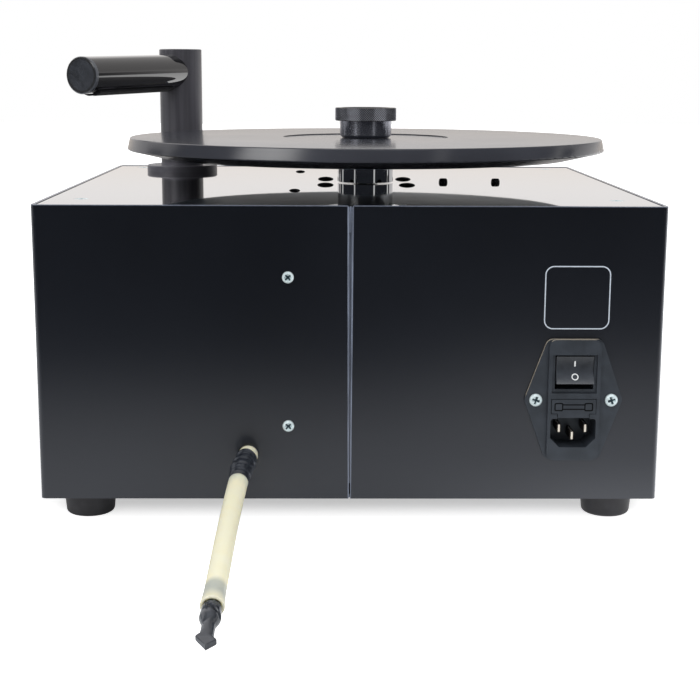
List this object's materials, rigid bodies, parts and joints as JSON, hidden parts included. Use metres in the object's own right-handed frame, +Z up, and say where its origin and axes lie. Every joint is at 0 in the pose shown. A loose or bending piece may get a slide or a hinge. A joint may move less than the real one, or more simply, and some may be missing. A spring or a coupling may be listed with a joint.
{
  "type": "record cleaning machine",
  "caption": "Vacuum record cleaning machine with a turning platter, swinging suction arm, screw-down clamp, fluid tank with drain hose, and mains inlet with switch and fuse drawer.",
  "frame": {"origin": "middle of the box around the whole machine without its drain hose, on the floor under the feet", "axes": "+Z up; +Y from the rear panel (inlet and drain hose) to the front panel (toggle switches); +X to the right of a person who looks at the rear panel"},
  "size_m": [0.3414, 0.5113, 0.2547],
  "materials": {
    "case_paint": "satin",
    "gloss_black": "glossy",
    "steel": "satin",
    "zinc": "bright",
    "black_screw": "satin",
    "chrome": "polished",
    "brass": "satin",
    "aluminium": "satin",
    "platter_plastic": "satin",
    "black_plastic": "satin",
    "white_plastic": "satin",
    "motor_paint": "satin",
    "rubber": "matte",
    "hose": "translucent",
    "velvet": "pile",
    "glass": "clear"
  },
  "bodies": {
    "case": {"case_wrap": "case_paint", "seam_strip": "case_paint", "top_plate": "gloss_black", "base_plate": "case_paint", "corner_posts": "aluminium", "corner_screws": "zinc", "feet": "rubber", "foot_screws": "zinc", "plate_rail": "steel", "terminal_block": "white_plastic", "plate_screws": "black_screw", "gearbox_housing": "aluminium", "gearbox_cover": "aluminium", "platter_motor": "motor_paint", "motor_screws": "black_screw", "column_collar": "black_plastic", "column_well": "black_plastic", "lift_spring": "steel", "suction_sleeve": "rubber", "tank": "white_plastic", "tank_lid": "white_plastic", "tank_bracket": "steel", "bracket_screws": "zinc", "air_duct": "rubber", "fan_cover": "steel", "fan_housing": "steel", "fan_motor": "motor_paint", "fan_ring": "rubber", "fan_cradle": "aluminium", "inlet_housing": "black_plastic", "inlet_pins": "zinc", "inlet_screws": "zinc", "switch_bodies": "black_plastic", "switch_nuts": "zinc", "drain_stub": "hose", "hose_sleeve": "rubber", "drain_hose": "hose", "drain_plug": "rubber"},
    "platter": {"platter": "platter_plastic", "platter_screws": "zinc", "platter_hub": "chrome", "spindle": "chrome", "drive_gear": "brass", "output_shaft": "steel"},
    "pinion": {"motor_pinion": "steel"},
    "clamp_foot": {"clamp_foot": "black_plastic"},
    "clamp_knob": {"clamp_knob": "black_plastic"},
    "swivel": {"swivel_bush": "black_plastic"},
    "arm": {"column_tube": "black_plastic", "column_cap": "black_plastic", "arm_tube": "gloss_black", "arm_end_cap": "gloss_black", "velvet_strips": "velvet"},
    "rocker": {"power_rocker": "black_plastic"},
    "fuse_drawer": {"fuse_drawer": "black_plastic", "fuse": "glass"},
    "direction_lever": {"direction_lever": "zinc"},
    "pump_lever": {"pump_lever": "zinc"},
    "impeller": {"fan_impeller": "aluminium"}
  },
  "joints": [
    {"name": "platter_spin", "type": "hinge", "parent": "case", "child": "platter", "pos_m": [0.01717, -0.00104, 0.19], "axis": [0, 0, 1], "continuous": true},
    {"name": "pinion_spin", "type": "hinge", "parent": "case", "child": "pinion", "pos_m": [0.01717, 0.02896, 0.15], "axis": [0, 0, 1], "continuous": true},
    {"name": "clamp_lift", "type": "slide", "parent": "platter", "child": "clamp_foot", "axis": [0, 0, 1], "range_m": [0, 0.006]},
    {"name": "clamp_turn", "type": "hinge", "parent": "clamp_foot", "child": "clamp_knob", "pos_m": [0.01717, -0.00104, 0.214], "axis": [0, 0, 1], "range_deg": [0, 2160]},
    {"name": "arm_swing", "type": "hinge", "parent": "case", "child": "swivel", "pos_m": [-0.10873, 0.10496, 0.172], "axis": [0, 0, 1], "range_deg": [-35, 76]},
    {"name": "arm_lift", "type": "slide", "parent": "swivel", "child": "arm", "axis": [0, 0, -1], "range_m": [0, 0.0225], "stiffness_N_per_m": 60, "springref_m": -0.08, "deforming": ["lift_spring"]},
    {"name": "rocker_tilt", "type": "hinge", "parent": "case", "child": "rocker", "pos_m": [0.12387, -0.16404, 0.085], "axis": [1, 0, 0], "range_deg": [0, 22]},
    {"name": "drawer_slide", "type": "slide", "parent": "case", "child": "fuse_drawer", "axis": [0, -1, 0], "range_m": [0, 0.02]},
    {"name": "direction_tilt", "type": "hinge", "parent": "case", "child": "direction_lever", "pos_m": [0.08567, 0.15546, 0.122], "axis": [1, 0, 0], "range_deg": [-12.5, 12.5]},
    {"name": "pump_tilt", "type": "hinge", "parent": "case", "child": "pump_lever", "pos_m": [0.12067, 0.15546, 0.122], "axis": [1, 0, 0], "range_deg": [0, 25]},
    {"name": "fan_spin", "type": "hinge", "parent": "case", "child": "impeller", "pos_m": [0.07567, -0.06704, 0.077], "axis": [1, 0, 0], "continuous": true}
  ],
  "couplings": [
    {"joint": "pinion_spin", "follows": "platter_spin", "ratio": -4},
    {"joint": "clamp_lift", "follows": "clamp_turn", "m_per_rad": 0.000159}
  ]
}
